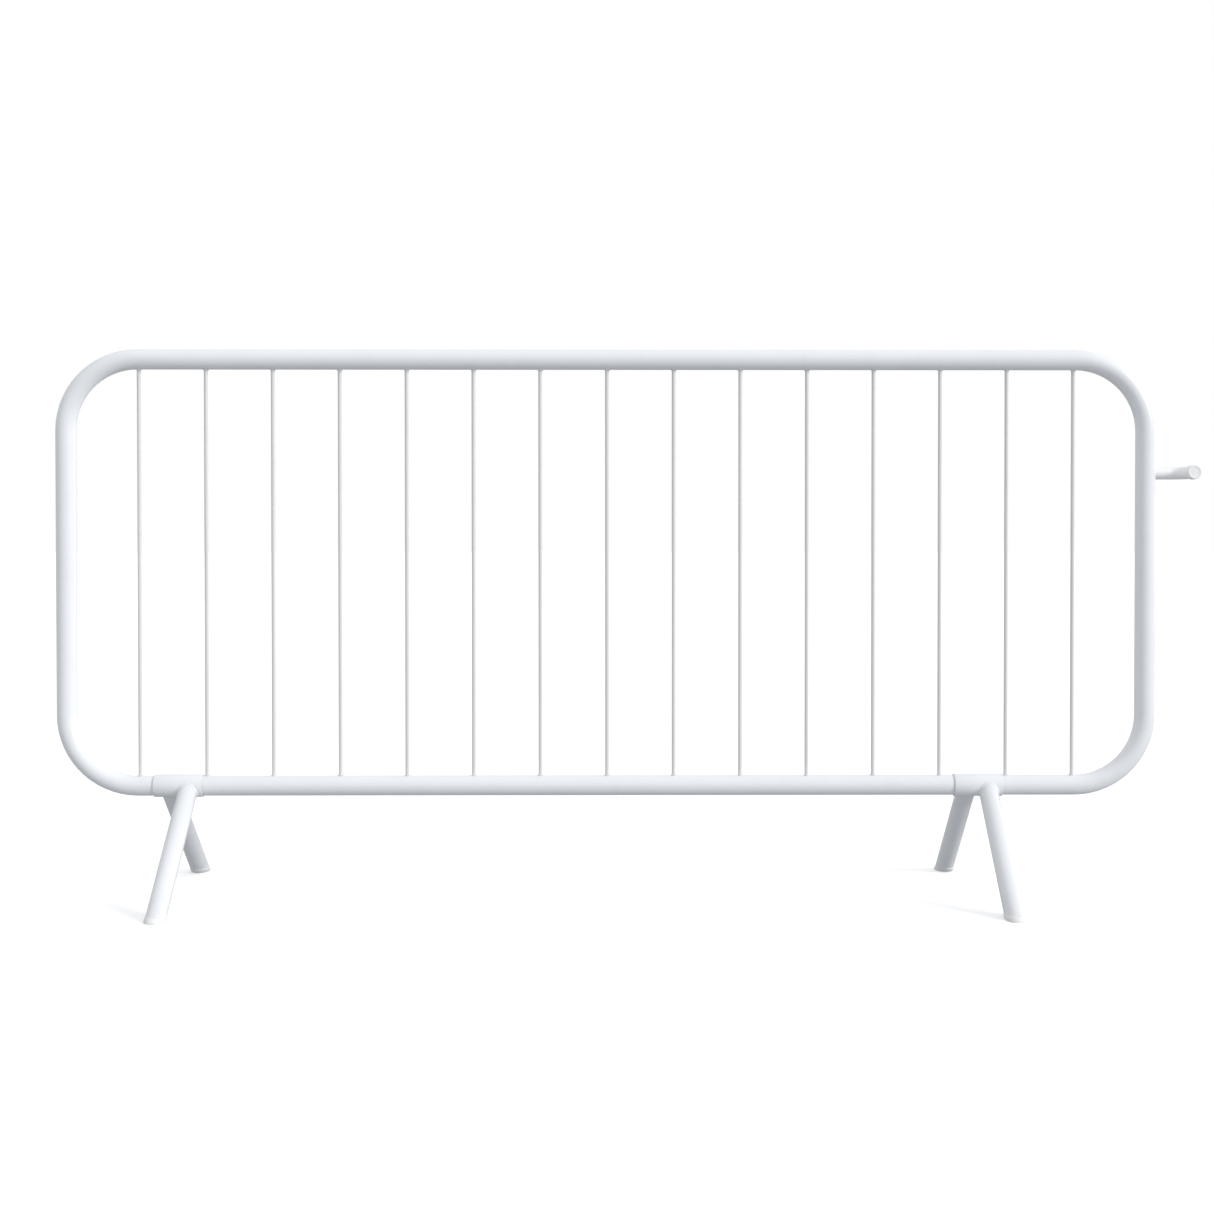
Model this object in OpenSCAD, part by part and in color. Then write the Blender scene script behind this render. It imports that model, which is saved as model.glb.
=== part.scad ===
// Crowd control barrier with fixed legs.
// A bent tube frame filled with upright bars stands on two pairs of splayed legs,
// and a hook on the right upright takes the end upright of the next barrier.
// Origin: on the ground, midway along the overall length and midway between the feet.
// +X runs along the barrier towards the hook, -Y is the front, +Z is up.

/* [Frame] */
// Length of the frame without the hook
frame_len = 2200; // [1600:10:2600]
// Height of the frame from the bottom rail's underside to the top
frame_h = 892; // [700:1:1100]
// Clear height under the bottom rail
ground_gap = 198; // [120:1:300]
// Outside diameter of the frame tube
tube_d = 40; // [36:0.5:50]
// Wall of the frame tube
tube_wall = 1.5; // [1.2:0.1:3]
// Centre-line radius of the corner bends
bend_r = 142; // [90:1:200]

/* [Bars] */
// Spacing of the bars to aim for, which is then adjusted to divide the rail evenly
bar_spacing = 133.5; // [122:0.5:160]
// Diameter of a bar
bar_d = 8; // [6:0.5:14]

/* [Leg sleeves] */
// Length of a sleeve
sleeve_len = 94; // [88:1:120]
// Wall of a sleeve
sleeve_wall = 2; // [1.5:0.1:4]
// Radial clearance between the frame tube and a sleeve
sleeve_fit = 0.5; // [0.2:0.1:0.8]
// Gap between the tube ends that meet inside a sleeve
butt_gap = 1; // [0.5:0.1:3]
// Bar, counted from the left, that the left sleeve stands just short of
left_sleeve_bar = 2; // [2:1:3]
// Bar, counted from the right, that the right sleeve stands just short of
right_sleeve_bar = 2; // [2:1:3]

/* [Legs] */
// Outside diameter of a leg tube
leg_d = 38; // [30:0.5:42]
// Wall of a leg tube
leg_wall = 1.5; // [1.2:0.1:3]
// Gap along the rail between the front leg and the rear leg of a set
leg_gap = 2; // [1:0.5:6]
// Distance from the middle of the barrier to the middle of a foot
foot_reach = 262; // [200:1:320]

/* [Foot caps] */
// Height of a foot cap's head under the leg tube
cap_head_h = 9; // [5:0.5:15]
// How far the head stands proud of the leg tube all round
cap_proud = 1; // [0.5:0.1:2]
// Length of a cap's stem inside the leg tube
cap_stem_len = 26; // [15:1:40]
// Radial clearance of the stem in the leg tube
cap_fit = 0.2; // [0.1:0.05:0.4]

/* [Coupling hook] */
// Distance from the top of the frame down to the hook's axis
hook_drop = 245; // [230:5:360]
// Outside diameter of the hook tube
hook_d = 25; // [20:0.5:30]
// Wall of the hook tube
hook_wall = 2; // [1.5:0.1:3]
// Play that the next barrier's upright has in the hook's throat
hook_play = 16; // [8:1:30]
// Depth of the saddle notch that seats the hook on the upright
hook_notch = 4; // [3:0.5:6]
// Clearance between the hook's inner bend and the upright that it takes
hook_fit = 1; // [0.5:0.5:4]
// How far the hook's end limb runs past the front of the upright that it takes
hook_overlap = 15; // [8:1:30]
// Length of the slip-over cap on the hook's end
hook_cap_len = 18; // [12:1:25]
// Wall of that cap
hook_cap_wall = 1.5; // [1:0.1:2.5]

/* [Welds] */
// Width of the bead round a bar's end
bar_weld = 2; // [1.5:0.1:4]
// Width of the bead round a sleeve's end
sleeve_weld = 3; // [2:0.1:5]
// Width of the bead round a leg's root
leg_weld = 3.5; // [2:0.1:5]
// Width of the bead between the hook and the upright
hook_weld_w = 3; // [2:0.1:5]
// Clearance between a sleeve's bead and the bead of the bar next to it
weld_gap = 0.5; // [0.5:0.1:3]

/* [Hidden] */
$fn = 96;
eps = 1;                    // run-out of a cutting tool past the face that it cuts

// Frame
tube_r = tube_d / 2;
bore_r = tube_r - tube_wall;
rail_z = ground_gap + tube_r;
top_z = ground_gap + frame_h - tube_r;
rail_run = frame_len / 2 - tube_r - bend_r;      // half length of the straight rails
upright_run = top_z - rail_z - 2 * bend_r;       // length of the straight uprights

// Bars: the first and the last stand just where the bends begin
bar_r = bar_d / 2;
bar_span = 2 * (rail_run - bar_r);
bar_count = 1 + round(bar_span / bar_spacing);
bar_pitch = bar_span / (bar_count - 1);
function bar_x(i) = -bar_span / 2 + (i - 1) * bar_pitch;
function bar_name(i) = str("bar_", i < 10 ? "0" : "", i);

// Sleeves: each stands so that its right-hand bead just clears the bead of its bar
sleeve_bore_r = tube_r + sleeve_fit;
sleeve_r = sleeve_bore_r + sleeve_wall;
sleeve_to_bar = sleeve_len / 2 + sleeve_weld + weld_gap + bar_weld + bar_r;
left_sleeve_x = bar_x(left_sleeve_bar) - sleeve_to_bar;
right_sleeve_x = bar_x(bar_count + 1 - right_sleeve_bar) - sleeve_to_bar;

// Legs: both axes of a set pass through the sleeve's axis, one beside the other
leg_r = leg_d / 2;
leg_bore_r = leg_r - leg_wall;
leg_offset = (leg_d + leg_gap) / 2;
leg_slope = atan2(foot_reach, rail_z);           // lean from upright
leg_axis_len = norm([foot_reach, rail_z]);
level_cut = 2 * leg_d / cos(leg_slope);          // a block wider than a leg's level section
cap_r = leg_r + cap_proud;
cap_run = cap_r * tan(leg_slope) + cap_head_h / cos(leg_slope) + eps;  // the head's slanting sides

// Hook, in its own horizontal plane
hook_r = hook_d / 2;
hook_z = ground_gap + frame_h - hook_drop;
hook_throat = tube_d + hook_play;                // clear gap from the frame's end to the end limb
upright_x = frame_len / 2 - tube_r;
shank_y = tube_r + hook_r - hook_notch;
hook_bend_r = tube_r + hook_r + hook_fit;
limb_x = frame_len / 2 + hook_throat + hook_r;
shank_start = upright_x - hook_r / 2;
shank_end = limb_x - hook_bend_r;
limb_start = shank_y - hook_bend_r;
limb_end = -(tube_r + hook_overlap);
hook_cap_r = hook_r + hook_cap_wall;
hook_reach = limb_x + hook_cap_r - frame_len / 2;

// The hook counts in the overall length, and the origin is at the middle of it
origin_shift = -hook_reach / 2;

// ---- Shared shapes ----

// A bar or tube along +X that starts at x0 and ends at x1
module along_x(x0, x1, r) {
    translate([x0, 0, 0]) rotate([0, 90, 0]) cylinder(h = x1 - x0, r = r);
}

// A quarter ring in the XY plane, from the +X side round to the +Y side
module quarter_ring(axis_r, r, bore) {
    rotate_extrude(angle = 90) translate([axis_r, 0]) difference() {
        circle(r = r);
        circle(r = bore);
    }
}

// The same quarter ring stood up in the XZ plane, from the +X side up to the +Z side
module corner_bend() {
    rotate([90, 0, 0]) quarter_ring(bend_r, tube_r, bore_r);
}

module tube_x(x0, x1, r, bore) {
    difference() {
        along_x(x0, x1, r);
        along_x(x0 - eps, x1 + eps, bore);
    }
}

module tube_z(z0, z1, r, bore) {
    translate([0, 0, z0]) difference() {
        cylinder(h = z1 - z0, r = r);
        translate([0, 0, -eps]) cylinder(h = z1 - z0 + 2 * eps, r = bore);
    }
}

// Places a shape in the barrier, whose frame is centred on x = 0 before this shift
module in_place() {
    translate([origin_shift, 0, 0]) children();
}

// ---- Frame ----

module frame_bow() {
    color("white") in_place() {
        translate([0, 0, top_z]) tube_x(-rail_run, rail_run, tube_r, bore_r);
        for (side = [-1, 1]) {
            translate([side * upright_x, 0, rail_z + bend_r]) tube_z(0, upright_run, tube_r, bore_r);
            for (level = [0, 1]) {
                translate([side * rail_run, 0, level ? top_z - bend_r : rail_z + bend_r])
                    mirror([side < 0 ? 1 : 0, 0, 0])
                    mirror([0, 0, level ? 0 : 1])
                    corner_bend();
            }
        }
        translate([0, 0, rail_z]) {
            tube_x(-rail_run, left_sleeve_x - butt_gap / 2, tube_r, bore_r);
            tube_x(right_sleeve_x + butt_gap / 2, rail_run, tube_r, bore_r);
        }
    }
}

module bottom_rail() {
    color("white") in_place() translate([0, 0, rail_z])
        tube_x(left_sleeve_x + butt_gap / 2, right_sleeve_x - butt_gap / 2, tube_r, bore_r);
}

module bar(i) {
    color("whitesmoke") in_place() translate([bar_x(i), 0, 0]) difference() {
        translate([0, 0, rail_z]) cylinder(h = top_z - rail_z, r = bar_r);
        for (z = [rail_z, top_z]) translate([0, 0, z]) along_x(-bar_d, bar_d, tube_r);
    }
}

// ---- Leg sets ----

module leg_sleeve(x) {
    color("white") in_place() translate([x, 0, rail_z])
        tube_x(-sleeve_len / 2, sleeve_len / 2, sleeve_r, sleeve_bore_r);
}

// Lays a shape, drawn down -Z from the rail's axis, along the axis of a leg.
// side is -1 for the front leg, which stands nearer the hook, and 1 for the rear leg.
module on_leg_axis(x, side) {
    in_place() translate([x - side * leg_offset, 0, rail_z]) rotate([side * leg_slope, 0, 0]) children();
}

module leg(x, side) {
    color("white") difference() {
        on_leg_axis(x, side) tube_z(-leg_axis_len - leg_d, 0, leg_r, leg_bore_r);
        in_place() translate([x, 0, rail_z]) along_x(-sleeve_len, sleeve_len, sleeve_r);
        in_place() translate([x - side * leg_offset, side * foot_reach, cap_head_h - level_cut / 2])
            cube(level_cut, center = true);
    }
}

// The head carries the leg's level end, and its stem grows out of the head and fills the tube above it
module foot_cap(x, side) {
    stem_r = leg_bore_r - cap_fit;
    stem_top = leg_axis_len - cap_head_h / cos(leg_slope) - cap_stem_len;
    color("white") {
        difference() {
            on_leg_axis(x, side) translate([0, 0, -leg_axis_len - cap_run])
                cylinder(h = 2 * cap_run, r = cap_r);
            in_place() translate([x - side * leg_offset, side * foot_reach, 0]) {
                translate([0, 0, -level_cut / 2]) cube(level_cut, center = true);
                translate([0, 0, cap_head_h + level_cut / 2]) cube(level_cut, center = true);
            }
        }
        difference() {
            on_leg_axis(x, side) translate([0, 0, -leg_axis_len - leg_d])
                cylinder(h = leg_axis_len + leg_d - stem_top, r = stem_r);
            in_place() translate([x - side * leg_offset, side * foot_reach, cap_head_h / 2 - level_cut / 2])
                cube(level_cut, center = true);
        }
    }
}

// ---- Coupling hook ----

module on_hook_plane() {
    in_place() translate([0, 0, hook_z]) children();
}

module coupling_hook() {
    color("white") on_hook_plane() {
        difference() {
            translate([0, shank_y, 0]) tube_x(shank_start, shank_end, hook_r, hook_r - hook_wall);
            translate([upright_x, 0, -hook_d]) cylinder(h = 2 * hook_d, r = tube_r);
        }
        translate([shank_end, limb_start, 0]) quarter_ring(hook_bend_r, hook_r, hook_r - hook_wall);
        translate([limb_x, 0, 0]) rotate([90, 0, 0]) tube_z(-limb_start, -limb_end, hook_r, hook_r - hook_wall);
    }
}

module hook_cap() {
    color("white") on_hook_plane() translate([limb_x, limb_end, 0]) rotate([90, 0, 0]) rotate_extrude()
        difference() {
            translate([0, hook_cap_wall - hook_cap_len]) square([hook_cap_r, hook_cap_len]);
            translate([0, -hook_cap_len]) square([hook_r, hook_cap_len]);
        }
}

// ---- Weld beads ----

// A bead round a bar, drawn down -Z from the axis of the rail that it meets
module bar_bead() {
    bead_root = sqrt(pow(tube_r, 2) - pow(bar_r + bar_weld, 2));
    difference() {
        union() {
            translate([0, 0, -tube_r]) cylinder(h = tube_r - bead_root, r = bar_r + bar_weld);
            translate([0, 0, -tube_r - bar_weld]) cylinder(h = bar_weld, r1 = bar_r, r2 = bar_r + bar_weld);
        }
        translate([0, 0, -tube_r - 2 * bar_weld]) cylinder(h = 2 * tube_r, r = bar_r);
        along_x(-bar_d, bar_d, tube_r);
    }
}

module bar_welds_top() {
    color("white") in_place() for (i = [1:bar_count]) translate([bar_x(i), 0, top_z]) bar_bead();
}

module bar_welds_bottom() {
    color("white") in_place() for (i = [1:bar_count]) translate([bar_x(i), 0, rail_z])
        mirror([0, 0, 1]) bar_bead();
}

module sleeve_welds() {
    color("white") in_place() for (x = [left_sleeve_x, right_sleeve_x]) translate([x, 0, rail_z])
        for (side = [-1, 1]) mirror([side < 0 ? 1 : 0, 0, 0]) translate([sleeve_len / 2, 0, 0])
            rotate([0, 90, 0]) difference() {
                cylinder(h = sleeve_weld, r1 = sleeve_r, r2 = tube_r);
                translate([0, 0, -eps]) cylinder(h = sleeve_weld + 2 * eps, r = tube_r);
            }
}

module leg_welds() {
    color("white") for (x = [left_sleeve_x, right_sleeve_x], side = [-1, 1]) difference() {
        intersection() {
            on_leg_axis(x, side) translate([0, 0, -leg_d]) cylinder(h = leg_d, r = leg_r + leg_weld);
            in_place() translate([x, 0, rail_z]) along_x(-sleeve_len, sleeve_len, sleeve_r + leg_weld);
        }
        on_leg_axis(x, side) translate([0, 0, -2 * leg_d]) cylinder(h = 2 * leg_d, r = leg_r);
        in_place() translate([x, 0, rail_z]) along_x(-sleeve_len, sleeve_len, sleeve_r);
    }
}

module hook_weld() {
    color("white") on_hook_plane() difference() {
        intersection() {
            translate([0, shank_y, 0]) along_x(shank_start, upright_x + tube_r, hook_r + hook_weld_w);
            translate([upright_x, 0, -hook_d]) cylinder(h = 2 * hook_d, r = tube_r + hook_weld_w);
        }
        translate([0, shank_y, 0]) along_x(shank_start - eps, upright_x + tube_d, hook_r);
        translate([upright_x, 0, -hook_d]) cylinder(h = 2 * hook_d, r = tube_r);
    }
}

// ---- Nodes ----

frame_bow();
bottom_rail();
leg_sleeve(left_sleeve_x);  // leg_sleeve_left
leg_sleeve(right_sleeve_x);  // leg_sleeve_right
leg(left_sleeve_x, -1);  // leg_left_front
leg(left_sleeve_x, 1);  // leg_left_rear
leg(right_sleeve_x, -1);  // leg_right_front
leg(right_sleeve_x, 1);  // leg_right_rear
foot_cap(left_sleeve_x, -1);  // foot_cap_left_front
foot_cap(left_sleeve_x, 1);  // foot_cap_left_rear
foot_cap(right_sleeve_x, -1);  // foot_cap_right_front
foot_cap(right_sleeve_x, 1);  // foot_cap_right_rear
coupling_hook();
hook_cap();
bar_welds_top();
bar_welds_bottom();
sleeve_welds();
leg_welds();
hook_weld();
for (i = [1:bar_count]) bar(i);
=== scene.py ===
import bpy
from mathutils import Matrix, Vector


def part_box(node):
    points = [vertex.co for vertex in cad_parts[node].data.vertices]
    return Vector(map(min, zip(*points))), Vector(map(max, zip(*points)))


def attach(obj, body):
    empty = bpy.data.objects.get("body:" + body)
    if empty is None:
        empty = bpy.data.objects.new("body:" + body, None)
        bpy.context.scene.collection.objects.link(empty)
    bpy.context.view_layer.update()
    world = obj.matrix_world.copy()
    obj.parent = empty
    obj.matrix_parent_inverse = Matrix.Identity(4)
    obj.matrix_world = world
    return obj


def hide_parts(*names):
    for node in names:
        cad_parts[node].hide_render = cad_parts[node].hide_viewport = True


bl_info = {
    "name": "Crowd control barrier",
    "version": (1, 0, 0),
    "blender": (4, 5, 0),
    "location": "3D View > Sidebar > Barrier",
    "description": "Coats a welded steel barrier and adds its sleeves, weld beads, caps and studio",
    "category": "Object",
}

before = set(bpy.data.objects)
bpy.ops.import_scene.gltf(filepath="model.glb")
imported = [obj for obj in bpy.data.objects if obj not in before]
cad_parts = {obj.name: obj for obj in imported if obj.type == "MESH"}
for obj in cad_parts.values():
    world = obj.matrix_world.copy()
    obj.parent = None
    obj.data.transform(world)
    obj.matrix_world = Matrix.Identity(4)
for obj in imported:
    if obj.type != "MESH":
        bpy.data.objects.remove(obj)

import math

import bmesh
import bpy
from bpy.props import FloatProperty, FloatVectorProperty, PointerProperty
from mathutils import Matrix, Vector, noise

BODY = "root"
MM = 0.001
MERGE = 1e-6                    # vertices closer than this are one vertex
SHARP = math.radians(35)        # an edge that turns further than this is shaded as a crease
X, Y, Z = 0, 1, 2

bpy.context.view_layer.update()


# ---- Places and sizes, read from the frame ----

def middle(node):
    """The middle of a CAD node's box."""
    low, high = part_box(node)
    return (low + high) / 2


def half(node, axis):
    """Half of what a CAD node measures along an axis."""
    low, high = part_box(node)
    return (high[axis] - low[axis]) / 2


TUBE_R = half("bottom_rail", Z)
RAIL_Z = middle("bottom_rail").z
TOP_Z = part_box("frame_bow")[1].z - TUBE_R
UPRIGHT_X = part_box("frame_bow")[1].x - TUBE_R

SIDES = ("left", "right")
LEGS = [(side, end) for side in SIDES for end in ("front", "rear")]
SLEEVE_R = half("leg_sleeve_left", Z)
SLEEVE_HALF = half("leg_sleeve_left", X)
LEG_R = half("leg_left_front", X)
CAP_R = half("foot_cap_left_front", X)

BARS = sorted(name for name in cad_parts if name.startswith("bar_") and name[4:].isdigit())
BAR_R = half("bar_01", X)

HOOK_Z = middle("coupling_hook").z
HOOK_R = half("coupling_hook", Z)
SHANK_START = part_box("coupling_hook")[0].x
SHANK_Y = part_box("coupling_hook")[1].y - HOOK_R
LIMB_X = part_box("coupling_hook")[1].x - HOOK_R
HOOK_CAP_R = half("hook_cap", Z)


def leg_foot(side, end):
    """The middle of a leg's level end, where its foot cap starts."""
    points = [v.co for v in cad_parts[f"leg_{side}_{end}"].data.vertices]
    level = min(p.z for p in points)
    reach = [p.y for p in points if p.z < level + MERGE]
    return Vector((middle(f"leg_{side}_{end}").x, (min(reach) + max(reach)) / 2, level))


# ---- Sizes and colours that a user would change ----

class BarrierFinish(bpy.types.PropertyGroup):
    coat_colour: FloatVectorProperty(
        name="Coat", description="Colour of the powder coat on the tubes",
        subtype="COLOR", size=3, min=0, max=1, default=(0.88, 0.895, 0.92))
    # painted light: the hook's coat and its cap are lighter copies of the frame's coat and the caps'
    # plastic
    hook_lightened_colour: FloatVectorProperty(
        name="Hook", description="Colour of the coupling hook's coat and of its cap",
        subtype="COLOR", size=3, min=0, max=1, default=(0.97, 0.97, 0.97))
    bar_colour: FloatVectorProperty(
        name="Bars", description="Colour of the coat on the thin bars",
        subtype="COLOR", size=3, min=0, max=1, default=(0.76, 0.76, 0.765))
    cap_colour: FloatVectorProperty(
        name="Foot caps", description="Colour of the moulded foot caps",
        subtype="COLOR", size=3, min=0, max=1, default=(0.87, 0.875, 0.875))
    dust_colour: FloatVectorProperty(
        name="Dust", description="Colour of the dust that settles in creases and near the ground",
        subtype="COLOR", size=3, min=0, max=1, default=(0.56, 0.55, 0.53))
    gloss_roughness: FloatProperty(
        name="Coat roughness", description="Roughness of the glossy coat", min=0.05, max=1, default=0.30)
    peel_height: FloatProperty(
        name="Orange peel", description="Height of the coat's orange peel",
        unit="LENGTH", min=0, default=0.035 * MM, precision=6)


class BarrierShape(bpy.types.PropertyGroup):
    rim_radius: FloatProperty(
        name="Sleeve rim", description="Rounding of a sleeve's outer edges",
        unit="LENGTH", min=0, default=0.7 * MM, precision=5)
    sleeve_bead: FloatProperty(
        name="Sleeve bead", description="Width of the weld bead round a sleeve's end",
        unit="LENGTH", min=0, default=2.6 * MM, precision=5)
    leg_bead: FloatProperty(
        name="Leg bead", description="Width of the weld bead round a leg's root",
        unit="LENGTH", min=0, default=2.8 * MM, precision=5)
    bar_bead: FloatProperty(
        name="Bar bead", description="Width of the weld bead round a bar's end",
        unit="LENGTH", min=0, default=2.0 * MM, precision=5)
    hook_bead: FloatProperty(
        name="Hook bead", description="Width of the weld bead between the hook and the upright",
        unit="LENGTH", min=0, default=3.0 * MM, precision=5)
    ripple_pitch: FloatProperty(
        name="Ripple pitch", description="Distance from one ripple of a weld bead to the next",
        unit="LENGTH", min=0.001, default=3.2 * MM, precision=5)
    ripple_height: FloatProperty(
        name="Ripple height", description="How far a ripple stands out of the bead, under the coat",
        unit="LENGTH", min=0, default=0.32 * MM, precision=5)
    cap_rounding: FloatProperty(
        name="Foot cap rounding", description="Rounding of a foot cap's rims",
        unit="LENGTH", min=0, default=1.3 * MM, precision=5)
    tread_depth: FloatProperty(
        name="Tread depth", description="Depth of the groove in a foot cap's sole",
        unit="LENGTH", min=0, default=1.2 * MM, precision=5)


class BarrierStudio(bpy.types.PropertyGroup):
    camera_place: FloatVectorProperty(
        name="Camera", description="Where the camera stands", subtype="TRANSLATION", unit="LENGTH",
        size=3, default=(-0.005, -3.532, 0.686))
    camera_tilt: FloatProperty(
        name="Tilt", description="How far the camera looks down", unit="ROTATION",
        default=math.radians(0.913))
    camera_turn: FloatProperty(
        name="Turn", description="How far the camera looks to the right", unit="ROTATION",
        default=math.radians(0.483))
    focal_length: FloatProperty(
        name="Focal length", description="Focal length on a 36 mm sensor", unit="CAMERA",
        min=1, default=52.28)
    framing: FloatVectorProperty(
        name="Framing", description="Lens shift that frames the barrier", size=2,
        default=(-0.0272, -0.0222))
    key_direction: FloatVectorProperty(
        name="Key direction", description="Direction that the key light comes from",
        subtype="DIRECTION", size=3, default=(0.80, -0.46, 0.38))
    key_strength: FloatProperty(
        name="Key", description="Strength of the key light", min=0, default=1.7)
    key_softness: FloatProperty(
        name="Key softness", description="Width of the key light as the barrier sees it",
        unit="ROTATION", min=0, default=math.radians(20))
    back_direction: FloatVectorProperty(
        name="Back light direction", description="Direction that the back light comes from",
        subtype="DIRECTION", size=3, default=(0.75, 0.6, 0.3))
    back_strength: FloatProperty(
        name="Back light", description="Strength of the back light", min=0, default=0.4)
    back_softness: FloatProperty(
        name="Back light softness", description="Width of the back light as the barrier sees it",
        unit="ROTATION", min=0, default=math.radians(40))
    sky_light: FloatVectorProperty(
        name="Light from above", description="Fill light from above", subtype="COLOR", size=3,
        min=0, default=(0.75, 0.765, 0.78))
    ground_light: FloatVectorProperty(
        name="Light from below", description="Fill light from below", subtype="COLOR", size=3,
        min=0, default=(0.42, 0.435, 0.455))
    floor_radius: FloatProperty(
        name="Floor radius", description="Radius of the floor", unit="LENGTH", min=5, default=2000)


# ---- Shader nodes ----

class Socket:
    """An output of a node. Arithmetic on it adds Math nodes to its tree."""

    def __init__(self, tree, output=None):
        self.tree = tree
        self.output = output

    def node(self, kind, settings=None, inputs=None, output=0):
        """Adds a node: its settings first, then the values or links of its sockets."""
        made = self.tree.nodes.new(kind)
        for name, value in (settings or {}).items():
            setattr(made, name, value)
        for name, value in (inputs or {}).items():
            if isinstance(value, Socket):
                self.tree.links.new(value.output, made.inputs[name])
            else:
                made.inputs[name].default_value = value
        return Socket(self.tree, made.outputs[output])

    def math(self, operation, *values):
        return self.node("ShaderNodeMath", {"operation": operation}, dict(enumerate(values)))

    def __add__(self, other):
        return self.math("ADD", self, other)

    __radd__ = __add__

    def __sub__(self, other):
        return self.math("SUBTRACT", self, other)

    def __rsub__(self, other):
        return self.math("SUBTRACT", other, self)

    def __mul__(self, other):
        return self.math("MULTIPLY", self, other)

    __rmul__ = __mul__

    def between(self, low, high):
        """0 where this is at low and 1 where it is at high, with a smooth turn."""
        settings = {"interpolation_type": "SMOOTHSTEP"}
        return self.node("ShaderNodeMapRange", settings, {0: self, 1: low, 2: high})

    def mix(self, low, high):
        """A colour that goes from low to high with this value."""
        settings = {"data_type": "RGBA"}
        return self.node("ShaderNodeMix", settings, {0: self, 6: low, 7: high}, output=2)

    def noise(self, scale, detail=2.0, rough=0.5):
        """Cloudy noise at this place, with scale cells to a metre."""
        inputs = {"Vector": self, "Scale": scale, "Detail": detail, "Roughness": rough}
        return self.node("ShaderNodeTexNoise", None, inputs)

    def part(self, axis):
        """One coordinate of this vector."""
        return self.node("ShaderNodeSeparateXYZ", None, {0: self}, output=axis)

    def bump(self, distance):
        """A surface normal that this height, from 0 to 1, lifts by up to distance."""
        return self.node("ShaderNodeBump", None, {"Height": self, "Distance": distance, "Strength": 1.0})


SPECK_SHADE = 0.8               # a speck is this share of the dust's colour
THIN_COAT_SHADE = 0.975         # what is left of the coat's colour where it is thin
LEG_PAINTED_SHADE = 0.945               # painted shade: the legs' coat as a darker share of the frame's
WELD_PAINTED_SHADE = 0.97               # the coat over a weld, as a share of the frame's: painted shade
HOOK_MATT = 0.05                # how much rougher the hook's coat is than the frame's
BAR_PEEL = 0.4                  # orange peel on the bars, as a share of the frame's
LEG_DUST = 0.25                 # dust on the legs' coat at the ground
COAT_DUST = 0.06                # dust in the streaks all over a coat
DUST_TOP = 70 * MM              # height over which the ground's dust fades out
SCUFF_TOP = 12 * MM             # height over which a cap's scuffs fade out
TOE_SHADE = 2.8 * MM             # how far painted shade, in the dust's colour, reaches up a bead from the rail it stands on
GRAIN_HEIGHT = 0.03 * MM        # height of the moulded plastic's grain


def rgba(colour):
    return (*colour, 1.0)


def darker(colour, share):
    return rgba([share * part for part in colour])


def new_material(name, colour, **constants):
    """A new material, with its shader node and a Socket on its object coordinates."""
    material = bpy.data.materials.new(name)
    material.use_nodes = True
    material.diffuse_color = rgba(colour)
    tree = material.node_tree
    shader = tree.nodes["Principled BSDF"]
    for socket, value in constants.items():
        shader.inputs[socket.replace("_", " ")].default_value = value
    place = Socket(tree).node("ShaderNodeTexCoord", output="Object")
    return material, shader, place


def feed(shader, **values):
    """Links the values that change over the surface to the shader."""
    for socket, value in values.items():
        shader.id_data.links.new(value.output, shader.inputs[socket.replace("_", " ")])


def powder_coat(name, colour, dust, roughness, peel_height, ground_dust=0.0):
    """Polyester powder coat: orange peel, cloudy gloss, specks, and dust that thickens near the ground."""
    material, shader, place = new_material(
        name, colour, Specular_IOR_Level=0.5, Coat_Roughness=0.12, Coat_IOR=1.5)
    cloud = place.noise(5.0, 3.0)
    streak = place.noise(38.0, 4.0, 0.6)
    specks = place.noise(900.0, 2.0).between(0.66, 0.74)
    peel = place.noise(430.0, 1.0)
    ripple = place.noise(120.0, 1.0)
    low = 1 - place.part(Z).between(0.0, DUST_TOP)
    grime = COAT_DUST * streak.between(0.45, 0.75) + ground_dust * low * streak.between(0.3, 0.7)
    thin = cloud.between(0.3, 0.7).mix(darker(colour, THIN_COAT_SHADE), rgba(colour))
    speckled = (0.25 * specks).mix(thin, darker(dust, SPECK_SHADE))
    feed(
        shader,
        Base_Color=grime.mix(speckled, rgba(dust)),
        Roughness=roughness + 0.09 * (cloud - 0.5) + 0.35 * grime + 0.10 * specks,
        Coat_Weight=0.45 - 0.5 * grime,
        Normal=(0.7 * peel + 0.3 * ripple).bump(peel_height),
    )
    return material


def weld_coat(name, colour, dust, peel_height):
    """The same coat over a weld, with dust between the ripples and painted shade along the toe on the
    rail.
    """
    material, shader, place = new_material(
        name, colour, Specular_IOR_Level=0.5, Coat_Roughness=0.1, Coat_IOR=1.5)
    cloud = place.noise(60.0, 3.0)
    pores = place.noise(1400.0, 2.0).between(0.62, 0.72)
    crease = cloud.between(0.45, 0.7)
    above_rail = place.part(Z) - RAIL_Z
    from_rail = place.part(Y) * place.part(Y) + above_rail * above_rail
    # painted shade: the bead darkens near its toe on the rail, in the corner where shade falls
    toe = 1 - from_rail.between(TUBE_R ** 2, (TUBE_R + TOE_SHADE) ** 2)
    # random dust in clouds and pores, plus the painted shade at the toe
    dust_and_shade = 0.22 * crease + 0.2 * pores + 0.8 * toe
    feed(
        shader,
        Base_Color=dust_and_shade.mix(darker(colour, WELD_PAINTED_SHADE), rgba(dust)),
        Roughness=0.26 + 0.16 * crease,
        Coat_Weight=0.5 - 0.3 * crease,
        Normal=(0.5 * place.noise(500.0, 2.0) + 0.5 * place.noise(1500.0, 1.0)).bump(peel_height),
    )
    return material


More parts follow.
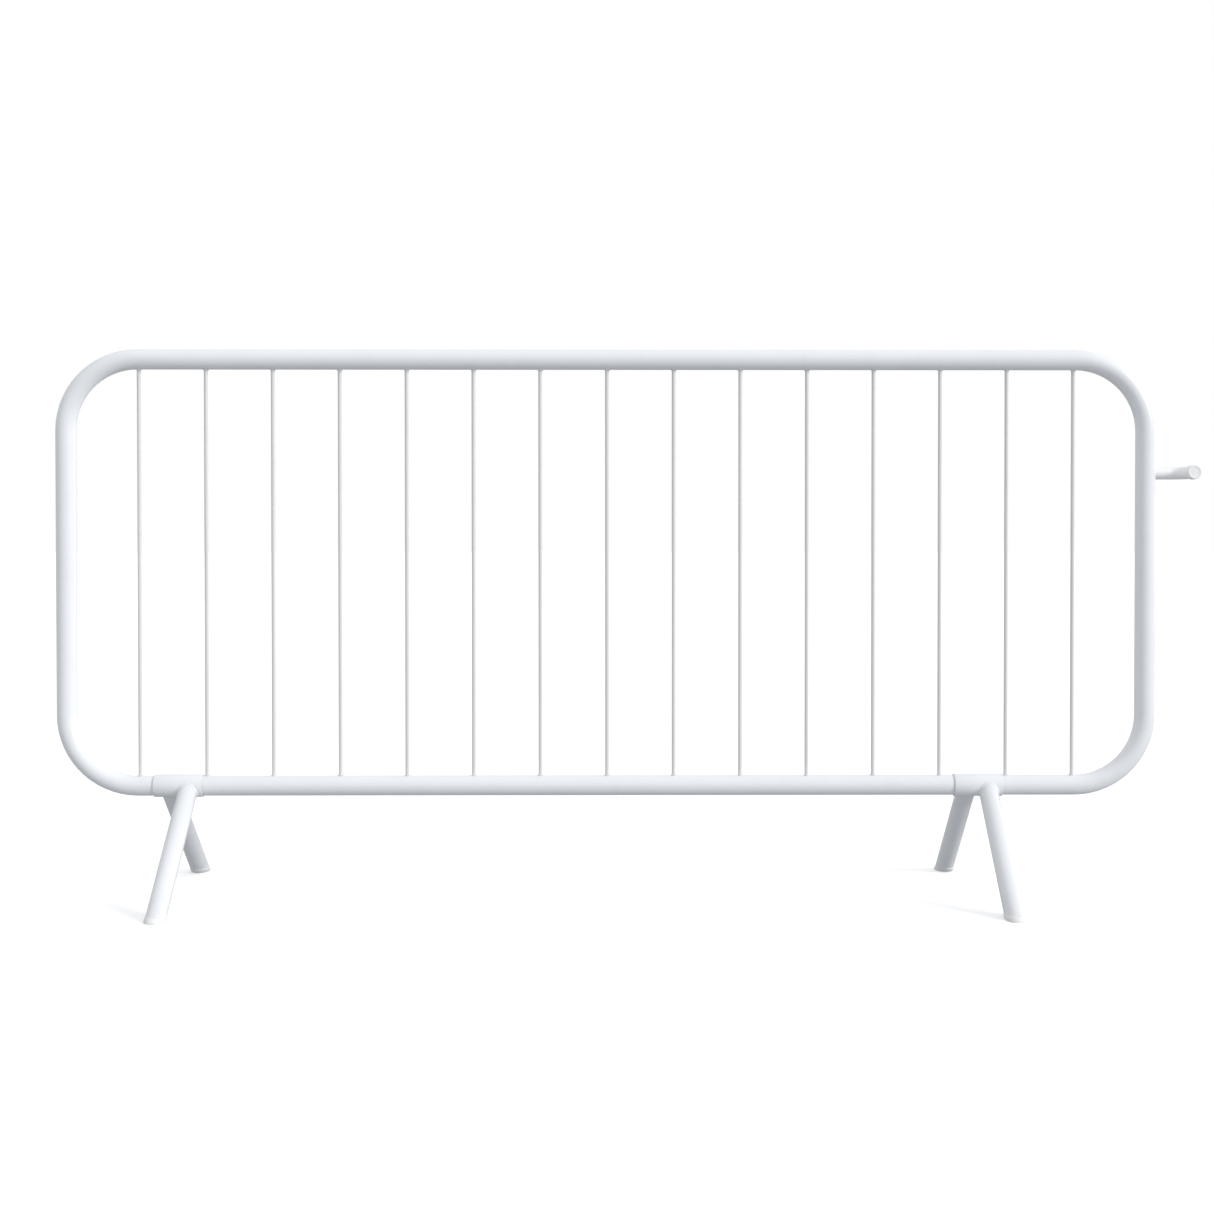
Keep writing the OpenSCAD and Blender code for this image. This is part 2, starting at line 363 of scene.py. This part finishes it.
def bar_coat(name, colour, dust, peel_height):
    """A satin coat on drawn bar, with the faint lengthwise marks of the drawing die."""
    material, shader, place = new_material(name, colour, Specular_IOR_Level=0.45, Coat_Roughness=0.2)
    drawn = place.node("ShaderNodeMapping", None, {"Vector": place, "Scale": (1500.0, 1500.0, 9.0)})
    lines = drawn.noise(1.0, 2.0)
    cloud = place.noise(9.0, 3.0)
    feed(
        shader,
        Base_Color=(0.10 * cloud.between(0.4, 0.7) + 0.08 * lines).mix(rgba(colour), rgba(dust)),
        Roughness=0.36 + 0.12 * cloud,
        Coat_Weight=0.25 * cloud,
        Normal=(0.6 * place.noise(600.0, 1.0) + 0.4 * lines).bump(peel_height),
    )
    return material


def moulded_cap(name, colour, dust):
    """Moulded plastic with a spark-eroded grain, scuffed and dusty near the ground."""
    material, shader, place = new_material(name, colour, Specular_IOR_Level=0.4)
    grain = place.noise(1900.0, 3.0, 0.6)
    cloud = place.noise(45.0, 3.0)
    low = 1 - place.part(Z).between(MM, SCUFF_TOP)
    scuff = low * cloud.between(0.35, 0.6)
    feed(
        shader,
        Base_Color=(0.05 * cloud + 0.35 * scuff).mix(rgba(colour), rgba(dust)),
        Roughness=0.46 + 0.14 * grain + 0.15 * scuff,
        Normal=grain.bump(GRAIN_HEIGHT),
    )
    return material


MAKERS = {
    "Frame coat": lambda f: powder_coat(
        "Frame coat", f.coat_colour, f.dust_colour, f.gloss_roughness, f.peel_height),
    # the legs' coat: the frame's coat darkened as painted shade, with dust near the ground
    "Leg coat with painted shade": lambda f: powder_coat(
        "Leg coat with painted shade", LEG_PAINTED_SHADE * f.coat_colour, f.dust_colour, f.gloss_roughness, f.peel_height, LEG_DUST),
    # the hook and its cap take the lighter colour: painted light
    "Hook coat with painted light": lambda f: powder_coat(
        "Hook coat with painted light", f.hook_lightened_colour, f.dust_colour, f.gloss_roughness + HOOK_MATT, f.peel_height),
    "Weld coat with painted shade": lambda f: weld_coat("Weld coat with painted shade", f.coat_colour, f.dust_colour, f.peel_height),
    "Bar coat": lambda f: bar_coat("Bar coat", f.bar_colour, f.dust_colour, BAR_PEEL * f.peel_height),
    "Cap plastic": lambda f: moulded_cap("Cap plastic", f.cap_colour, f.dust_colour),
    "Hook cap plastic with painted light": lambda f: moulded_cap("Hook cap plastic with painted light", f.hook_lightened_colour, f.dust_colour),
}


def finish(name):
    """One of the barrier's finishes, made when it is first asked for."""
    return bpy.data.materials.get(name) or MAKERS[name](bpy.context.scene.barrier_finish)


# ---- Mesh tools ----

def skin(around, across, place):
    """A closed skin of quads. Its corner at (u, v), each from 0 to 1, goes where place(u, v) says."""
    bm = bmesh.new()
    bmesh.ops.create_grid(bm, x_segments=around, y_segments=across, size=0.5)
    for vert in bm.verts:
        vert.co = place(vert.co.x + 0.5, vert.co.y + 0.5)
    close(bm)
    return bm


def lathe(outline, steps, place):
    """An outline of (along, radius) points, spun round the X axis and then placed.

    It closes on itself, or on the axis if it starts there.
    """
    bm = bmesh.new()
    verts = [bm.verts.new((along, 0, radius)) for along, radius in outline]
    on_axis = outline[0][1] == 0
    ends = zip(verts, verts[1:] if on_axis else verts[1:] + verts[:1])
    edges = [bm.edges.new(pair) for pair in ends]
    bmesh.ops.spin(
        bm, geom=verts + edges, axis=(1, 0, 0), cent=(0, 0, 0), angle=math.tau, steps=steps,
        use_merge=True)
    close(bm)
    bmesh.ops.transform(bm, matrix=place, verts=bm.verts)
    return bm


def close(bm):
    """Merges seams and poles, and turns every face outwards."""
    bmesh.ops.remove_doubles(bm, verts=bm.verts, dist=MERGE)
    bmesh.ops.recalc_face_normals(bm, faces=bm.faces)


def cut_level(bm, height, keep_below):
    """Cuts a solid at a height, closes it with one flat face and returns that face."""
    bm.normal_update()
    cut = bmesh.ops.bisect_plane(
        bm, geom=bm.verts[:] + bm.edges[:] + bm.faces[:], dist=MERGE, plane_co=(0, 0, height),
        plane_no=(0, 0, 1), clear_outer=keep_below, clear_inner=not keep_below)
    rim = [e for e in cut["geom_cut"] if isinstance(e, bmesh.types.BMEdge)]
    made = bmesh.ops.contextual_create(bm, geom=rim)
    bmesh.ops.recalc_face_normals(bm, faces=bm.faces)
    return made["faces"][0]


def round_rims(bm, radius, segments=3, where=lambda edge: True):
    """Rounds the sharp edges of a solid."""
    rims = [e for e in bm.edges if e.is_manifold and e.calc_face_angle() > SHARP and where(e)]
    bmesh.ops.bevel(
        bm, geom=rims, affect="EDGES", offset=radius, offset_type="OFFSET", segments=segments,
        profile=0.5, material=-1, clamp_overlap=True)


def join(parts):
    """Puts several solids in one mesh."""
    whole = bmesh.new()
    for part in parts:
        scratch = bpy.data.meshes.new("scratch")
        part.to_mesh(scratch)
        part.free()
        whole.from_mesh(scratch)
        bpy.data.meshes.remove(scratch)
    return whole


def add_piece(bm, name, slot, material, *stands_for):
    """Makes a bmesh a piece of the barrier that stands for CAD nodes."""
    for edge in bm.edges:
        edge.smooth = not edge.is_manifold or edge.calc_face_angle() < SHARP
    for face in bm.faces:
        face.smooth = True
    mesh = bpy.data.meshes.new(name)
    bm.to_mesh(mesh)
    bm.free()
    mesh.materials.append(finish(material))
    piece = bpy.data.objects.new(name, mesh)
    bpy.context.scene.collection.objects.link(piece)
    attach(piece, BODY)
    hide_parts(*stands_for)
    return piece


def coat_nodes(names, material):
    """Gives CAD nodes whose shape is right their finish."""
    for name in names:
        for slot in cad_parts[name].material_slots:
            slot.material = finish(material)


# ---- Weld beads ----

CROWN_SHARE = 0.75              # share of a bead's section that is its crown; the rest is buried
SECTION_STEPS = 8               # quads round a bead's section
CROWN_RISE = 0.16               # how far a bead's crown stands out, as a share of its width
DRIFT_SCALE = 140               # cells to a metre of the slow drift in a bead's width
LUMP_SCALE = 420                # cells to a metre of the lumps on a bead's crown
LUMP_SHIFT = Vector((7, 3, 5))  # keeps the lumps from following the drift
CHEVRON = 0.45                  # how far a ripple bends back at a bead's toes, in ripples
TROUGH = 0.35                   # how far a trough lies under the plain bead, in ripple heights


def weld_bead(root, length, width, sink, ripple, pitch, steps_per_ripple=6, wander=0.10, open_ends=0.0):
    """A rippled bead in the corner between two surfaces.

    root(u) gives a point of the corner and the two surfaces' normals there, for u from 0 to 1.
    sink is how far the bead's two toes dip into the metal, wander how much its width varies,
    and open_ends the share of the length over which a bead that isn't a ring tapers to a point.
    """
    ripples = max(4, round(length / pitch))

    def place(u, v):
        point, normal_a, normal_b = root(u)
        crown = (normal_a + normal_b).normalized()
        along_a = (normal_b - normal_a * normal_a.dot(normal_b)).normalized()
        along_b = (normal_a - normal_b * normal_a.dot(normal_b)).normalized()
        end = math.sqrt(min(1.0, u / open_ends, (1 - u) / open_ends)) if open_ends else 1.0
        drift = noise.noise(point * DRIFT_SCALE) * wander
        reach = width * (1 + drift) * end
        toe_a = point + along_a * reach - normal_a * sink * end
        toe_b = point + along_b * reach - normal_b * sink * end
        if v > CROWN_SHARE:         # the buried side, from toe b back to toe a
            back = (v - CROWN_SHARE) / (1 - CROWN_SHARE)
            buried = point - crown * 2 * sink * end
            return buried.lerp(toe_b, 1 - 2 * back) if back < 0.5 else buried.lerp(toe_a, 2 * back - 1)
        s = v / CROWN_SHARE         # the crown, a curve from toe a to toe b
        phase = u * ripples + CHEVRON * (2 * s - 1) ** 2
        wave = ripple * (abs(math.sin(math.pi * phase)) - TROUGH) * (1 - (2 * s - 1) ** 4)
        lump = 0.5 * ripple * noise.noise(point * LUMP_SCALE + LUMP_SHIFT)
        bulge = (CROWN_RISE * width * (1 + 2 * drift) + wave + lump) * end
        control = (toe_a + toe_b) / 2 + crown * 2 * bulge
        return toe_a * (1 - s) ** 2 + control * 2 * s * (1 - s) + toe_b * s ** 2

    return skin(ripples * steps_per_ripple, SECTION_STEPS, place)


def saddle_root(branch_r, run_r, start, down, across):
    """The corner where a round branch meets a round run at a right angle.

    start is on both axes, down points along the branch and across along the run.
    """
    side = down.cross(across)

    def root(u):
        turn = math.tau * u
        along = across * math.cos(turn)
        out = side * math.sin(turn)
        height = math.sqrt(run_r ** 2 - (branch_r * math.sin(turn)) ** 2)
        point = start + (along + out) * branch_r + down * height
        return point, along + out, (out * branch_r + down * height) / run_r

    return root


def ring_root(centre, radius, out):
    """The corner between a tube along X and the end face of a sleeve round it, which faces out."""

    def root(u):
        radial = Vector((0, math.cos(math.tau * u), math.sin(math.tau * u)))
        return centre + radial * radius, out, radial

    return root


def hook_root():
    """The corner between the hook's shank and the back of the upright.

    It starts at the shank's open end, runs along its top and comes back along its underside.
    Angles are round the shank's axis. At widest the seam crosses the upright's rearmost line,
    and at start it reaches the shank's end; swing is how far root's turn goes each way.
    """
    widest = math.acos((TUBE_R - SHANK_Y) / HOOK_R)
    start_y = math.sqrt(TUBE_R ** 2 - (SHANK_START - UPRIGHT_X) ** 2)
    start = math.acos((start_y - SHANK_Y) / HOOK_R)
    swing = math.pi - math.asin((math.pi - start) / (math.pi - widest))

    def root(u):
        turn = swing * (2 * u - 1)
        angle = math.pi + (math.pi - widest) * math.sin(turn)
        y = SHANK_Y + HOOK_R * math.cos(angle)
        x = math.copysign(math.sqrt(max(0.0, TUBE_R ** 2 - y ** 2)), math.cos(turn))
        point = Vector((UPRIGHT_X + x, y, HOOK_Z + HOOK_R * math.sin(angle)))
        return point, Vector((0, math.cos(angle), math.sin(angle))), Vector((x, y, 0)) / TUBE_R

    return root


# ---- Operators: one for each piece or group of like pieces ----

class BARRIER_OT_coat_tubes(bpy.types.Operator):
    """Coat the bent frame, the bottom rail and the legs"""
    bl_idname = "barrier.coat_tubes"
    bl_label = "Coat the tubes"

    def execute(self, context):
        coat_nodes(("frame_bow", "bottom_rail"), "Frame coat")
        coat_nodes([f"leg_{side}_{end}" for side, end in LEGS], "Leg coat with painted shade")
        coat_nodes(("coupling_hook",), "Hook coat with painted light")
        return {"FINISHED"}


class BARRIER_OT_coat_bars(bpy.types.Operator):
    """Coat the upright bars"""
    bl_idname = "barrier.coat_bars"
    bl_label = "Coat the bars"

    def execute(self, context):
        coat_nodes(BARS, "Bar coat")
        return {"FINISHED"}


class BARRIER_OT_sleeves(bpy.types.Operator):
    """Make the two leg sleeves, with rounded rims"""
    bl_idname = "barrier.sleeves"
    bl_label = "Leg sleeves"
    wall = 2.0 * MM                 # thickness of a sleeve's wall

    def execute(self, context):
        shape = context.scene.barrier_shape
        for side in SIDES:
            node = f"leg_sleeve_{side}"
            bore = SLEEVE_R - self.wall
            outline = [
                (-SLEEVE_HALF, bore), (-SLEEVE_HALF, SLEEVE_R),
                (SLEEVE_HALF, SLEEVE_R), (SLEEVE_HALF, bore),
            ]
            bm = lathe(outline, 96, Matrix.Translation(middle(node)))
            round_rims(bm, shape.rim_radius)
            add_piece(bm, f"sleeve_{side}", "frame_tube", "Frame coat", node)
        return {"FINISHED"}


class BARRIER_OT_foot_caps(bpy.types.Operator):
    """Make the four foot caps, with rounded rims, a grooved sole and a finned stem"""
    bl_idname = "barrier.foot_caps"
    bl_label = "Foot caps"
    stem_r = 15.5 * MM
    stem_len = 26.0 * MM            # how far the stem goes up the leg
    fin_r = 17.4 * MM
    fin_count = 3
    fin_pitch = 7.0 * MM
    fin_width = 1.6 * MM
    last_fin = 4.2 * MM             # from the last fin's start to the stem's end
    sole_rim = 3.2 * MM             # from the cap's edge to the groove in its sole
    groove = 3.0 * MM               # width of the groove at its bottom
    groove_draft = 0.35 * MM        # how far each wall of the groove leans

    def head(self, sole, up, height, rounding, tread):
        """A cylinder along the leg's axis, cut level at the ground and at the leg, with a grooved sole."""
        bm = bmesh.new()
        turn = Vector((0, 0, 1)).rotation_difference(up).to_matrix().to_4x4()
        bmesh.ops.create_cone(
            bm, cap_ends=True, segments=96, radius1=CAP_R, radius2=CAP_R, depth=8 * CAP_R,
            matrix=Matrix.Translation(sole) @ turn)
        cut_level(bm, height, keep_below=True)
        bottom = cut_level(bm, 0, keep_below=False)
        draft = self.groove_draft
        for width, lift in ((self.sole_rim, 0), (draft, -tread), (self.groove, 0), (draft, tread)):
            bmesh.ops.inset_individual(
                bm, faces=[bottom], thickness=width, depth=lift, use_even_offset=True)

        def on_rim(edge):
            return all(self.from_axis(v.co, sole, up) > CAP_R - MERGE for v in edge.verts)

        round_rims(bm, rounding, 4, on_rim)
        return bm

    def from_axis(self, point, start, up):
        """How far a point is from a line."""
        away = point - start
        return (away - up * away.dot(up)).length

    def stem(self, foot, up, height):
        """A stem along the leg's axis, with fins that grip the tube, cut level inside the head."""
        outline = [(-3 * self.stem_r, 0), (-3 * self.stem_r, self.stem_r)]
        for fin in range(self.fin_count):
            at = self.stem_len - self.last_fin - (self.fin_count - 1 - fin) * self.fin_pitch
            tip = at + self.fin_width / 2
            outline += [(at, self.stem_r), (tip, self.fin_r), (at + self.fin_width, self.stem_r)]
        outline += [(self.stem_len, self.stem_r), (self.stem_len, 0)]
        turn = Vector((1, 0, 0)).rotation_difference(up).to_matrix().to_4x4()
        bm = lathe(outline, 48, Matrix.Translation(foot) @ turn)
        cut_level(bm, height / 2, keep_below=False)
        return bm

    def execute(self, context):
        shape = context.scene.barrier_shape
        for side, end in LEGS:
            foot = leg_foot(side, end)
            up = (Vector((foot.x, 0, RAIL_Z)) - foot).normalized()
            sole = foot - up * (foot.z / up.z)
            head = self.head(sole, up, foot.z, shape.cap_rounding, shape.tread_depth)
            bm = join([head, self.stem(foot, up, foot.z)])
            add_piece(bm, f"cap_{side}_{end}", "end_cap", "Cap plastic", f"foot_cap_{side}_{end}")
        return {"FINISHED"}


class BARRIER_OT_hook_cap(bpy.types.Operator):
    """Make the slip-over cap on the hook's end, with a lip, rounded edges and a dished end"""
    bl_idname = "barrier.hook_cap"
    bl_label = "Hook cap"
    lip = 0.6 * MM                  # how far the lip stands out
    lip_len = 2.6 * MM
    dish = 0.7 * MM                 # depth of the dish in the cap's end
    dish_rim = 3.5 * MM             # from the cap's side to the dish
    end_rounding = 1.4 * MM
    lip_rounding = 0.25 * MM

    def execute(self, context):
        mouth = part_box("hook_cap")[1].y
        length = 2 * half("hook_cap", Y)
        wall = HOOK_CAP_R - HOOK_R
        outline = [
            (length - wall, 0), (length - wall, HOOK_R), (0, HOOK_R), (0, HOOK_CAP_R + self.lip),
            (self.lip_len, HOOK_CAP_R + self.lip), (self.lip_len + self.lip, HOOK_CAP_R),
            (length, HOOK_CAP_R), (length, HOOK_CAP_R - self.dish_rim),
            (length - self.dish, HOOK_CAP_R - self.dish_rim - self.dish), (length - self.dish, 0),
        ]
        place = Matrix.Translation((LIMB_X, mouth, HOOK_Z)) @ Matrix.Rotation(-math.pi / 2, 4, "Z")
        bm = lathe(outline, 72, place)
        end_y = mouth - length

        def on_end(edge):
            return all(v.co.y < end_y + MERGE for v in edge.verts) and self.radius(edge) > HOOK_CAP_R - MM

        def on_lip(edge):
            return self.radius(edge) > HOOK_CAP_R + self.lip - MERGE

        round_rims(bm, self.end_rounding, 4, on_end)
        round_rims(bm, self.lip_rounding, 2, on_lip)
        add_piece(bm, "cap_hook", "end_cap", "Hook cap plastic with painted light", "hook_cap")
        return {"FINISHED"}

    def radius(self, edge):
        """How far an edge's first end is from the cap's axis."""
        return math.hypot(edge.verts[0].co.x - LIMB_X, edge.verts[0].co.z - HOOK_Z)


class BARRIER_OT_sleeve_beads(bpy.types.Operator):
    """Make the rippled weld beads round the sleeves' ends"""
    bl_idname = "barrier.sleeve_beads"
    bl_label = "Sleeve beads"
    sink = 0.1 * MM
    ripple_share = 0.8              # of the height of a leg bead's ripples

    def execute(self, context):
        shape = context.scene.barrier_shape
        beads = []
        for side in SIDES:
            centre = middle(f"leg_sleeve_{side}")
            for way in (-1, 1):
                out = Vector((way, 0, 0))
                root = ring_root(centre + out * SLEEVE_HALF, TUBE_R, out)
                beads.append(weld_bead(
                    root, math.tau * TUBE_R, shape.sleeve_bead, self.sink,
                    self.ripple_share * shape.ripple_height, shape.ripple_pitch))
        add_piece(join(beads), "beads_sleeves", "weld_bead", "Weld coat with painted shade", "sleeve_welds")
        return {"FINISHED"}


class BARRIER_OT_leg_beads(bpy.types.Operator):
    """Make the rippled weld beads round the legs' roots"""
    bl_idname = "barrier.leg_beads"
    bl_label = "Leg beads"
    sink = 0.25 * MM
    saddle_len = 1.05 * math.tau * LEG_R    # a saddle is a little longer than the ring it bends

    def execute(self, context):
        shape = context.scene.barrier_shape
        beads = []
        for side, end in LEGS:
            foot = leg_foot(side, end)
            start = Vector((foot.x, 0, RAIL_Z))
            root = saddle_root(LEG_R, SLEEVE_R, start, (foot - start).normalized(), Vector((1, 0, 0)))
            beads.append(weld_bead(
                root, self.saddle_len, shape.leg_bead, self.sink, shape.ripple_height,
                shape.ripple_pitch))
        add_piece(join(beads), "beads_legs", "weld_bead", "Weld coat with painted shade", "leg_welds")
        return {"FINISHED"}


class BARRIER_OT_bar_beads(bpy.types.Operator):
    """Make the small weld beads at both ends of every bar"""
    bl_idname = "barrier.bar_beads"
    bl_label = "Bar beads"
    sink = 0.12 * MM
    ripple_share = 0.5              # of the height of a leg bead's ripples

    def execute(self, context):
        shape = context.scene.barrier_shape
        for name, rail_z, way in (("top", TOP_Z, -1), ("bottom", RAIL_Z, 1)):
            beads = []
            for bar in BARS:
                start = Vector((middle(bar).x, 0, rail_z))
                root = saddle_root(BAR_R, TUBE_R, start, Vector((0, 0, way)), Vector((1, 0, 0)))
                beads.append(weld_bead(
                    root, math.tau * BAR_R, shape.bar_bead, self.sink,
                    self.ripple_share * shape.ripple_height, shape.ripple_pitch,
                    steps_per_ripple=4, wander=0.35))
            add_piece(join(beads), f"beads_bars_{name}", "weld_bead", "Weld coat with painted shade", f"bar_welds_{name}")
        return {"FINISHED"}


class BARRIER_OT_hook_bead(bpy.types.Operator):
    """Make the rippled weld bead between the hook and the upright"""
    bl_idname = "barrier.hook_bead"
    bl_label = "Hook bead"
    sink = 0.15 * MM
    seam_len = 4.4 * HOOK_R         # a little more than the seam is long
    ripple_share = 0.8              # of the height and the pitch of a leg bead's ripples

    def execute(self, context):
        shape = context.scene.barrier_shape
        bead = weld_bead(
            hook_root(), self.seam_len, shape.hook_bead, self.sink,
            self.ripple_share * shape.ripple_height, self.ripple_share * shape.ripple_pitch,
            open_ends=0.08)
        add_piece(bead, "beads_hook", "weld_bead", "Weld coat with painted shade", "hook_weld")
        return {"FINISHED"}


class BARRIER_OT_stage(bpy.types.Operator):
    """Set up the floor, the light and the camera"""
    bl_idname = "barrier.stage"
    bl_label = "Stage"
    horizon = 0.35                  # how far above and below the horizon the fill changes

    def floor(self, studio):
        bm = bmesh.new()
        bmesh.ops.create_circle(bm, cap_ends=True, segments=96, radius=studio.floor_radius)
        mesh = bpy.data.meshes.new("floor")
        bm.to_mesh(mesh)
        bm.free()
        floor = bpy.data.objects.new("floor", mesh)
        bpy.context.scene.collection.objects.link(floor)
        material, shader, place = new_material(
            "Floor", (0.95, 0.95, 0.95), Roughness=0.9, Specular_IOR_Level=0.0,
            Emission_Color=(1.0, 1.0, 1.0, 1.0), Emission_Strength=0.22)
        tone = place.noise(2.0, 2.0).mix((0.955, 0.955, 0.955, 1), (0.965, 0.965, 0.965, 1))
        feed(shader, Base_Color=tone)
        mesh.materials.append(material)
        floor.visible_diffuse = False
        floor.visible_glossy = False

    def light(self, name, direction, strength, softness):
        """A soft light that reaches every part of the barrier alike."""
        data = bpy.data.lights.new(name, "SUN")
        data.energy = strength
        data.angle = softness
        lamp = bpy.data.objects.new(name, data)
        bpy.context.scene.collection.objects.link(lamp)
        lamp.rotation_mode = "QUATERNION"
        lamp.rotation_quaternion = Vector(direction).to_track_quat("Z", "Y")

    def surroundings(self, studio):
        """A white backdrop, and fill light that is weaker from below than from above."""
        world = bpy.data.worlds.new("studio")
        world.use_nodes = True
        bpy.context.scene.world = world
        tree = world.node_tree
        tree.nodes.clear()
        start = Socket(tree)
        height = start.node("ShaderNodeTexCoord", output="Generated").part(Z)
        upwards = height.between(-self.horizon, self.horizon)
        fill = upwards.mix(rgba(studio.ground_light), rgba(studio.sky_light))
        fill_light = start.node("ShaderNodeBackground", None, {"Color": fill, "Strength": 1.0})
        backdrop = start.node("ShaderNodeBackground", None, {"Color": (1, 1, 1, 1), "Strength": 1.0})
        seen = start.node("ShaderNodeLightPath", output="Is Camera Ray")
        both = start.node("ShaderNodeMixShader", None, {0: seen, 1: fill_light, 2: backdrop})
        tree.links.new(both.output, tree.nodes.new("ShaderNodeOutputWorld").inputs["Surface"])

    def camera(self, studio):
        data = bpy.data.cameras.new("camera")
        data.lens = studio.focal_length
        data.sensor_width = 36
        data.shift_x, data.shift_y = studio.framing
        data.clip_start = 0.05
        data.clip_end = 2 * studio.floor_radius
        data.dof.use_dof = False
        camera = bpy.data.objects.new("camera", data)
        camera.location = studio.camera_place
        camera.rotation_euler = (math.pi / 2 - studio.camera_tilt, 0, -studio.camera_turn)
        bpy.context.scene.collection.objects.link(camera)
        bpy.context.scene.camera = camera

    def execute(self, context):
        studio = context.scene.barrier_studio
        self.camera(studio)
        self.floor(studio)
        self.light("key", studio.key_direction, studio.key_strength, studio.key_softness)
        self.light("back_light", studio.back_direction, studio.back_strength, studio.back_softness)
        self.surroundings(studio)
        context.scene.view_settings.view_transform = "Standard"
        return {"FINISHED"}


OPERATORS = (
    BARRIER_OT_coat_tubes,
    BARRIER_OT_coat_bars,
    BARRIER_OT_sleeves,
    BARRIER_OT_foot_caps,
    BARRIER_OT_hook_cap,
    BARRIER_OT_sleeve_beads,
    BARRIER_OT_leg_beads,
    BARRIER_OT_bar_beads,
    BARRIER_OT_hook_bead,
    BARRIER_OT_stage,
)


class VIEW3D_PT_barrier(bpy.types.Panel):
    """The barrier's pieces, sizes and finishes"""
    bl_label = "Barrier"
    bl_space_type = "VIEW_3D"
    bl_region_type = "UI"
    bl_category = "Barrier"

    def draw(self, context):
        for group in GROUPS:
            settings = getattr(context.scene, group)
            box = self.layout.box()
            for name in settings.__annotations__:
                box.prop(settings, name)
        for operator in OPERATORS:
            self.layout.operator(operator.bl_idname)


GROUPS = {
    "barrier_finish": BarrierFinish,
    "barrier_shape": BarrierShape,
    "barrier_studio": BarrierStudio,
}


def register():
    for group, kind in GROUPS.items():
        bpy.utils.register_class(kind)
        setattr(bpy.types.Scene, group, PointerProperty(type=kind))
    for kind in (*OPERATORS, VIEW3D_PT_barrier):
        bpy.utils.register_class(kind)


def unregister():
    for kind in (VIEW3D_PT_barrier, *reversed(OPERATORS)):
        bpy.utils.unregister_class(kind)
    for group, kind in reversed(GROUPS.items()):
        delattr(bpy.types.Scene, group)
        bpy.utils.unregister_class(kind)


def main():
    register()
    bpy.ops.barrier.stage()
    bpy.ops.barrier.coat_tubes()
    bpy.ops.barrier.coat_bars()
    bpy.ops.barrier.sleeves()
    bpy.ops.barrier.foot_caps()
    bpy.ops.barrier.hook_cap()
    bpy.ops.barrier.sleeve_beads()
    bpy.ops.barrier.leg_beads()
    bpy.ops.barrier.bar_beads()
    bpy.ops.barrier.hook_bead()


if __name__ == "__main__":
    main()
